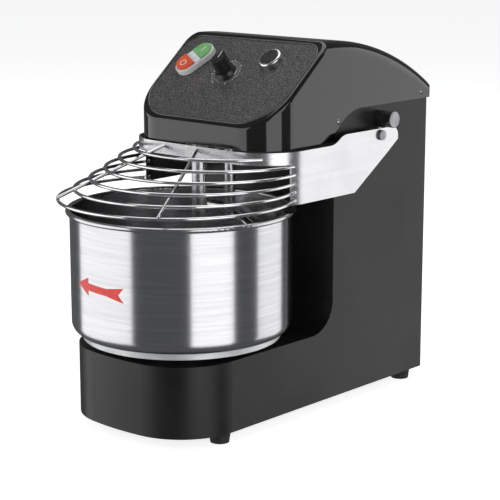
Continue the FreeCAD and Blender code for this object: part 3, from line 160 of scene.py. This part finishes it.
# Panel rim. A satin bead glued into the joint between the panel and the head cover's recess. It follows
# the panel's outline: wide lower corners, smaller upper ones.
PANEL_FOOT = np.array([0.0, -0.074, 0.354])
PANEL_RISE, PANEL_RUN = 0.447 - 0.354, 0.135 - 0.024
PANEL_TILT = math.atan2(PANEL_RISE, PANEL_RUN)
PANEL_LENGTH = math.hypot(PANEL_RISE, PANEL_RUN)
PANEL_EDGE = 0.0060
BEAD_RADIUS, BEAD_HEIGHT, BEAD_LIFT = 0.0011, 0.0009, 0.0003


def on_panel(across, up, out):
    """Points on the sloped panel: across it, up it from its lower edge, and out of its face."""
    across, up, out = np.broadcast_arrays(*[np.asarray(v, float) for v in (across, up, out)])
    y = PANEL_FOOT[1] + up * math.cos(PANEL_TILT) - out * math.sin(PANEL_TILT)
    z = PANEL_FOOT[2] + up * math.sin(PANEL_TILT) + out * math.cos(PANEL_TILT)
    return np.stack([across, y, z], axis=-1)


def surface(name, grid, finish, close_u=False, close_v=False, smooth=True):
    """A mesh over a grid of points, row by row, joined up at the ends where it is closed."""
    rows, columns = grid.shape[:2]
    index = np.arange(rows * columns).reshape(rows, columns)
    if close_u:
        index = np.vstack([index, index[:1]])
    if close_v:
        index = np.hstack([index, index[:, :1]])
    faces = np.stack([index[:-1, :-1], index[:-1, 1:], index[1:, 1:], index[1:, :-1]], -1).reshape(-1, 4)
    mesh = bpy.data.meshes.new(name)
    mesh.from_pydata(grid.reshape(-1, 3).tolist(), [], faces.tolist())
    mesh.polygons.foreach_set("use_smooth", np.full(len(faces), smooth))
    mesh.materials.append(finish)
    piece = bpy.data.objects.new(name, mesh)
    bpy.context.collection.objects.link(piece)
    return piece


def rounded_path(half, low, high, low_radius, high_radius, steps=24):
    """A closed outline: two wide lower corners and two small upper ones, joined by straight runs."""
    turn = np.linspace(0.0, math.pi / 2, steps)
    corners = [(half - low_radius, low + low_radius, low_radius, -math.pi / 2),
               (half - high_radius, high - high_radius, high_radius, 0.0),
               (-half + high_radius, high - high_radius, high_radius, math.pi / 2),
               (-half + low_radius, low + low_radius, low_radius, math.pi)]
    arcs = [np.stack([x + r * np.cos(turn + a), y + r * np.sin(turn + a)], -1) for x, y, r, a in corners]
    return np.concatenate(arcs)


def outward(path):
    """The sideways direction at each point of a closed outline, pointing out of it."""
    along = np.roll(path, -1, axis=0) - np.roll(path, 1, axis=0)
    along /= np.linalg.norm(along, axis=1, keepdims=True)
    return np.stack([along[:, 1], -along[:, 0]], -1)


satin_rim, tree, shader, place = new_finish("satin_rim", (0.10, 0.10, 0.10), 0.24, 0.75)
relief(tree, grain(tree, place, 700.0, 3.0), shader, 0.00004, 0.4)
spread(tree, grain(tree, place, 40.0, 3.0), 0.2, 0.3, shader.inputs["Roughness"])
outline = rounded_path(0.1060, PANEL_EDGE, PANEL_LENGTH - PANEL_EDGE, 0.050, 0.022)
sideways = outward(outline)
round_bead = np.linspace(0.0, 2 * math.pi, 12, endpoint=False)
reach = BEAD_RADIUS * np.cos(round_bead)
lift = BEAD_LIFT + BEAD_HEIGHT * np.sin(round_bead)
across = outline[:, None, 0] + sideways[:, None, 0] * reach
up = outline[:, None, 1] + sideways[:, None, 1] * reach
panel_rim = surface("panel_rim", on_panel(across, up, lift[None, :]), satin_rim, True, True)
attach(panel_rim, "frame")


# Start and stop pair. A pale moulded collar holds a green key above, a red key below and a clear lamp lens
# between them. The keys carry a stroke and a ring, printed in white.
collar_grey, tree, shader, place = new_finish("collar_grey", (0.62, 0.63, 0.63), 0.26)
shader.inputs["Coat Weight"].default_value = 0.3
spread(tree, grain(tree, place, 120.0, 4.0), 0.2, 0.34, shader.inputs["Roughness"])
tint(tree, grain(tree, place, 30.0, 3.0), (0.58, 0.59, 0.59), (0.66, 0.67, 0.67), shader.inputs["Base Color"])
wear(collar_grey, "dual_button_bezel")


def key_finish(name, dark, light):
    """Moulded key plastic: a soft gloss with a faint cloud in its colour."""
    finish, tree, shader, place = new_finish(name, dark, 0.28)
    tint(tree, grain(tree, place, 90.0, 3.0), dark, light, shader.inputs["Base Color"])
    relief(tree, grain(tree, place, 1500.0, 2.0), shader, 0.00003, 0.4)
    shader.inputs["Coat Weight"].default_value = 0.25
    return finish


wear(key_finish("key_green", (0.16, 0.42, 0.14), (0.21, 0.50, 0.19)), "start_button")
wear(key_finish("key_red", (0.72, 0.085, 0.03), (0.82, 0.12, 0.05)), "stop_button")
wear(key_finish("lamp_lens", (0.66, 0.70, 0.74), (0.80, 0.83, 0.86)), "pilot_lamp")

white_print, tree, shader, place = new_finish("white_print", (0.8, 0.8, 0.8), 0.5)
tint(tree, grain(tree, place, 900.0, 3.0), (0.66, 0.66, 0.66), (0.86, 0.86, 0.86), shader.inputs["Base Color"])


def dual_place(along, aside, out):
    """Points on the pair of keys, which leans on the panel: along it, beside it, and out of the panel."""
    lean = math.radians(-29.0)
    across = -0.067 + np.asarray(aside) * math.cos(lean) - np.asarray(along) * math.sin(lean)
    up = 0.096 + np.asarray(aside) * math.sin(lean) + np.asarray(along) * math.cos(lean)
    return on_panel(across, up, out)


stroke_along = np.linspace(0.0115, 0.0190, 6)[:, None]
stroke_aside = np.array([-0.0007, 0.0007])[None, :]
start_mark = surface("start_mark", dual_place(stroke_along, -stroke_aside, 0.00865), white_print, smooth=False)
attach(start_mark, "start_key")
ring_angle = np.linspace(0.0, 2 * math.pi, 40, endpoint=False)[:, None]
ring_radius = np.array([0.0034, 0.0045])[None, :]
stop_mark = surface("stop_mark", dual_place(-0.0148 + ring_radius * np.sin(ring_angle),
                                            -ring_radius * np.cos(ring_angle), 0.00945), white_print,
                    close_u=True, smooth=False)
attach(stop_mark, "stop_key")


# Timer. A bright dial ring under a black knob with a fluted grip. The ring's scale is printed on the panel
# in white strokes, one for each step of the timer.
black_plastic, tree, shader, place = new_finish("black_plastic", (0.008, 0.008, 0.0085), 0.3)
relief(tree, grain(tree, place, 1400.0, 3.0), shader, 0.00004, 0.4)
spread(tree, grain(tree, place, 120.0, 3.0), 0.25, 0.38, shader.inputs["Roughness"])
wear(black_plastic, "timer_knob", "jog_button", "cable_gland", "dual_contact_block", "jog_contact_block",
     "guard_switch", "timer_clockwork")

bright_ring, tree, shader, place = new_finish("bright_ring", (0.70, 0.71, 0.72), 0.16, 1.0)
spread(tree, grain(tree, place, 500.0, 3.0, (1.0, 1.0, 0.1)), 0.12, 0.24, shader.inputs["Roughness"])
tint(tree, grain(tree, place, 60.0, 2.0), (0.64, 0.65, 0.66), (0.76, 0.77, 0.78), shader.inputs["Base Color"])
wear(bright_ring, "timer_dial", "jog_button_bezel")


TIMER_ACROSS, TIMER_UP = -0.008, 0.082


def dial_strokes(name, angles, inner, outer, width):
    """Short flat strokes round the dial, each one quad, on the panel's face."""
    angles = np.radians(np.asarray(angles, float))[:, None]
    corner_r = np.array([inner, outer, outer, inner])[None, :]
    corner_t = np.array([-1.0, -1.0, 1.0, 1.0])[None, :] * width / 2
    across = TIMER_ACROSS + corner_r * np.sin(angles) + corner_t * np.cos(angles)
    up = TIMER_UP + corner_r * np.cos(angles) - corner_t * np.sin(angles)
    points = on_panel(across, up, 0.00012).reshape(-1, 3)
    faces = np.arange(len(points)).reshape(-1, 4)[:, ::-1]
    mesh = bpy.data.meshes.new(name)
    mesh.from_pydata(points.tolist(), [], faces.tolist())
    mesh.materials.append(white_print)
    piece = bpy.data.objects.new(name, mesh)
    bpy.context.collection.objects.link(piece)
    return piece


dial_scale = dial_strokes("dial_scale", np.linspace(-150.0, 150.0, 31), 0.0180, 0.0200, 0.0006)
long_scale = dial_strokes("dial_long_scale", np.linspace(-150.0, 150.0, 7), 0.0180, 0.0214, 0.0009)
knob_line = np.linspace(0.0012, 0.0108, 6)[:, None]
knob_aside = np.array([-0.0005, 0.0005])[None, :]
pointer_line = surface("pointer_line", on_panel(TIMER_ACROSS + knob_aside, TIMER_UP + knob_line, 0.02412),
                       white_print, smooth=False)
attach(pointer_line, "timer")
for strokes in (dial_scale, long_scale):
    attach(strokes, "frame")


# Bowl. Spun stainless steel with a rolled rim, brushed round its axis, so that every light is drawn out
# into an upright band. It stands on a pale ring over the turning hub.
bowl_steel, tree, shader, place = new_finish("bowl_steel", (0.56, 0.56, 0.57), 0.2, 1.0)
brushing = grain(tree, place, 30.0, 6.0, (0.25, 0.25, 60.0))
relief(tree, brushing, shader, 0.00003, 0.04)
spread(tree, brushing, 0.19, 0.25, shader.inputs["Roughness"])
tint(tree, grain(tree, place, 18.0, 4.0, (0.6, 0.6, 14.0)), (0.53, 0.53, 0.54), (0.60, 0.60, 0.61),
     shader.inputs["Base Color"])
shader.inputs["Anisotropic"].default_value = 0.8
shader.inputs["Anisotropic Rotation"].default_value = 0.25
tangent = tree.nodes.new("ShaderNodeTangent")
tangent.direction_type = "RADIAL"
tangent.axis = "Z"
tree.links.new(tangent.outputs["Tangent"], shader.inputs["Tangent"])

satin_steel, tree, shader, place = new_finish("satin_steel", (0.66, 0.66, 0.67), 0.25, 1.0)
streaks = grain(tree, place, 60.0, 5.0, (1.0, 0.12, 3.0))
spread(tree, streaks, 0.22, 0.29, shader.inputs["Roughness"])
relief(tree, streaks, shader, 0.00002, 0.08)
tint(tree, grain(tree, place, 12.0, 3.0), (0.62, 0.62, 0.63), (0.70, 0.70, 0.71), shader.inputs["Base Color"])

pale_ring, tree, shader, place = new_finish("pale_ring", (0.52, 0.53, 0.54), 0.34, 0.35)
tint(tree, grain(tree, place, 40.0, 4.0, (1.0, 1.0, 4.0)), (0.46, 0.47, 0.48), (0.58, 0.59, 0.60),
     shader.inputs["Base Color"])
relief(tree, grain(tree, place, 500.0, 3.0), shader, 0.00003, 0.4)
wear(bowl_steel, "bowl")
wear(pale_ring, "bowl_ring")


# Turning arrow. A red foil sticker on the bowl's wall that shows which way it turns: a barbed head, a
# straight shaft and a notched tail. It is cut flat and follows the wall.
arrow_red, tree, shader, place = new_finish("arrow_red", (0.66, 0.03, 0.02), 0.38)
tint(tree, grain(tree, place, 160.0, 4.0), (0.58, 0.022, 0.016), (0.72, 0.04, 0.028),
     shader.inputs["Base Color"])
bowl_low, bowl_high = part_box("bowl")
WALL_RADIUS, STICKER_THICKNESS = 0.1300, 0.00018
bowl_axis = ((bowl_low[0] + bowl_high[0]) / 2, (bowl_low[1] + bowl_high[1]) / 2)
TIP, BARB, TAIL, TAIL_NOTCH = math.radians(-19.0), math.radians(-9.7), math.radians(13.0), math.radians(4.0)
SHAFT, HEAD, FIN = 0.0042, 0.0103, 0.0085
ARROW_HEIGHT, TAIL_DROOP, TAIL_SPLAY = 0.1825, 0.0035, 0.055
stations = np.concatenate([np.linspace(TIP, BARB, 24), np.linspace(BARB + 1e-4, TAIL, 40)])
head_share = np.clip((stations - TIP) / (BARB - TIP), 0.0, 1.0)
fin_share = np.clip((stations - TAIL_NOTCH) / (TAIL - TAIL_NOTCH), 0.0, 1.0)
half_height = np.where(stations <= BARB, 0.0002 + HEAD * head_share, SHAFT + (FIN - SHAFT) * fin_share)
rows = np.linspace(-1.0, 1.0, 9)
droop = TAIL_DROOP * (stations - TIP) / (TAIL - TIP)
height = ARROW_HEIGHT - droop[:, None] + half_height[:, None] * rows[None, :]
angle = np.broadcast_to(stations[:, None], height.shape) + np.where(
    fin_share[:, None] > 0, TAIL_SPLAY * (np.abs(rows)[None, :] - 0.5) * fin_share[:, None], 0.0)
skin = WALL_RADIUS + STICKER_THICKNESS
arrow_grid = np.stack([bowl_axis[0] + skin * np.sin(angle), bowl_axis[1] - skin * np.cos(angle), height], -1)
turning_arrow = surface("turning_arrow", arrow_grid[:, ::-1][::-1], arrow_red)
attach(turning_arrow, "bowl")


# Guard. Two arms and a strip in one bent sheet of satin stainless steel, with polished wires welded to it.
# The wires are drawn bright, so they show light and dark lines along their length.
wire_steel, tree, shader, place = new_finish("wire_steel", (0.70, 0.70, 0.71), 0.13, 1.0)
spread(tree, grain(tree, place, 90.0, 4.0), 0.09, 0.2, shader.inputs["Roughness"])
tint(tree, grain(tree, place, 50.0, 3.0), (0.62, 0.62, 0.63), (0.76, 0.76, 0.77), shader.inputs["Base Color"])
wear(satin_steel, "guard_frame", "guard_spacers", "breaker_bar", "spiral_hook")
wear(wire_steel, "guard_hoops", "guard_rods")


# Stops and screws. Turned steel pins stand out of the column over the arms, and the arms turn on shoulder
# bolts. They are darker than the sheet and show fine rings from the lathe.
turned_steel, tree, shader, place = new_finish("turned_steel", (0.30, 0.30, 0.31), 0.3, 1.0)
rings = grain(tree, place, 60.0, 3.0, (20.0, 1.0, 1.0))
spread(tree, rings, 0.22, 0.4, shader.inputs["Roughness"])
relief(tree, rings, shader, 0.00005, 0.3)
tint(tree, grain(tree, place, 80.0, 3.0), (0.24, 0.24, 0.25), (0.36, 0.36, 0.37), shader.inputs["Base Color"])
wear(turned_steel, "guard_stop_left", "guard_stop_right", "pivot_bolt_left", "pivot_bolt_right",
     "cover_screws", "rear_cover_screws", "breaker_bolts")


# Feet. Tapered black rubber, screwed under the bottom plate, matte and a little dusty at the sole.
foot_rubber, tree, shader, place = new_finish("foot_rubber", (0.012, 0.012, 0.012), 0.7)
tint(tree, grain(tree, place, 200.0, 4.0), (0.010, 0.010, 0.010), (0.022, 0.021, 0.020),
     shader.inputs["Base Color"])
relief(tree, grain(tree, place, 1200.0, 3.0), shader, 0.00005, 0.5)
wear(foot_rubber, "foot_front_left", "foot_front_right", "foot_rear_left", "foot_rear_right")


# Drive. The motor, shafts, wheels and chains inside the column and the head, mostly out of sight: plain
# machined steel, a grey motor and a black belt.
machined_steel, tree, shader, place = new_finish("machined_steel", (0.42, 0.42, 0.42), 0.4, 1.0)
cut = grain(tree, place, 140.0, 4.0, (1.0, 1.0, 6.0))
spread(tree, cut, 0.3, 0.5, shader.inputs["Roughness"])
tint(tree, grain(tree, place, 25.0, 3.0), (0.36, 0.36, 0.36), (0.48, 0.48, 0.48), shader.inputs["Base Color"])
wear(machined_steel, "head_beam", "spiral_bearing", "bowl_shaft", "bowl_bearing", "bowl_sprocket",
     "lower_chain",
     "spiral_spindle", "spiral_sprocket", "upper_chain", "layshaft", "layshaft_low_sprocket",
     "layshaft_top_sprocket", "layshaft_pulley", "layshaft_top_bearing", "layshaft_foot_bearing",
     "motor_bracket", "motor_shaft", "motor_pulley", "beam_brackets")
motor_paint, tree, shader, place = new_finish("motor_paint", (0.10, 0.11, 0.12), 0.5)
relief(tree, grain(tree, place, 500.0, 3.0), shader, 0.0001, 0.4)
tint(tree, grain(tree, place, 30.0, 3.0), (0.085, 0.095, 0.105), (0.12, 0.13, 0.14),
     shader.inputs["Base Color"])
wear(motor_paint, "motor")
belt_rubber, tree, shader, place = new_finish("belt_rubber", (0.02, 0.02, 0.02), 0.65)
tint(tree, grain(tree, place, 300.0, 3.0), (0.014, 0.014, 0.014), (0.03, 0.03, 0.03),
     shader.inputs["Base Color"])
wear(belt_rubber, "drive_belt")


# Floor and backdrop. A pale floor that runs far back to a pale round wall, both lit from within. They stay out
# of the steel's reflections, which leaves dark bands between the panels.
floor_white, tree, shader, place = new_finish("floor_white", (0.86, 0.86, 0.86), 0.9)
tint(tree, grain(tree, place, 3.0, 2.0), (0.855, 0.855, 0.855), (0.87, 0.87, 0.87), shader.inputs["Base Color"])
shader.inputs["Emission Color"].default_value = (1.0, 1.0, 1.0, 1.0)
shader.inputs["Emission Strength"].default_value = 0.82
FLOOR_REACH, BACKDROP_RADIUS, BACKDROP_HEIGHT = 20.0, 18.0, 18.0
span = np.linspace(-FLOOR_REACH, FLOOR_REACH, 3)
floor_y, floor_x = np.meshgrid(span, span)
floor = surface("floor", np.stack([floor_x, floor_y, np.zeros_like(floor_x)], -1)[::-1], floor_white,
                smooth=False)
floor.visible_glossy = False
turns, heights = np.linspace(0.0, 2.0 * math.pi, 97), np.linspace(-0.05, BACKDROP_HEIGHT, 3)
wall_turn, wall_height = np.meshgrid(turns, heights)
wall_x, wall_y = BACKDROP_RADIUS * np.sin(wall_turn), BACKDROP_RADIUS * np.cos(wall_turn)
backdrop = surface("backdrop", np.stack([wall_x, wall_y, wall_height], -1), floor_white, smooth=False)
backdrop.visible_glossy = backdrop.visible_diffuse = backdrop.visible_shadow = False


# Light and camera. Tall soft panels front left, to the right and behind, and one overhead, in a dim room. The
# camera stands to the right of the front and looks a little down.
def soft_panel(name, azimuth, elevation, distance, width, height, power):
    """An area lamp that faces the middle of the machine. Azimuth runs from the front to the right."""
    turn, rise = math.radians(azimuth), math.radians(elevation)
    middle = np.array([0.0, 0.0, 0.22])
    toward = np.array([math.sin(turn) * math.cos(rise), -math.cos(turn) * math.cos(rise), math.sin(rise)])
    lamp = bpy.data.lights.new(name, "AREA")
    lamp.shape = "RECTANGLE"
    lamp.size, lamp.size_y = width, height
    lamp.energy = power
    holder = bpy.data.objects.new(name, lamp)
    holder.location = middle + toward * distance
    holder.rotation_euler = (math.pi / 2 - rise, 0.0, turn)
    bpy.context.collection.objects.link(holder)


soft_panel("front_panel", -42.0, 1.0, 2.0, 2.9, 2.5, 33.0)
soft_panel("right_panel", 73.0, 1.0, 2.0, 1.6, 2.5, 21.0)
soft_panel("rear_panel", 145.0, 1.0, 2.0, 1.5, 2.5, 15.0)
soft_panel("top_panel", 200.0, 78.0, 2.3, 2.6, 2.0, 30.0)

world = bpy.data.worlds.new("dim_room")
world.use_nodes = True
world.node_tree.nodes["Background"].inputs["Color"].default_value = (0.95, 0.97, 1.0, 1.0)
world.node_tree.nodes["Background"].inputs["Strength"].default_value = 0.12
bpy.context.scene.world = world
bpy.context.scene.view_settings.view_transform = "Standard"

lens = bpy.data.cameras.new("view")
lens.sensor_width = 36.0
lens.lens = 117.18
camera = bpy.data.objects.new("view", lens)
camera.location = (1.30618, -1.43057, 0.61715)
camera.rotation_euler = (math.pi / 2 - 0.21702, 0.0, 0.73233)
bpy.context.collection.objects.link(camera)
bpy.context.scene.camera = camera
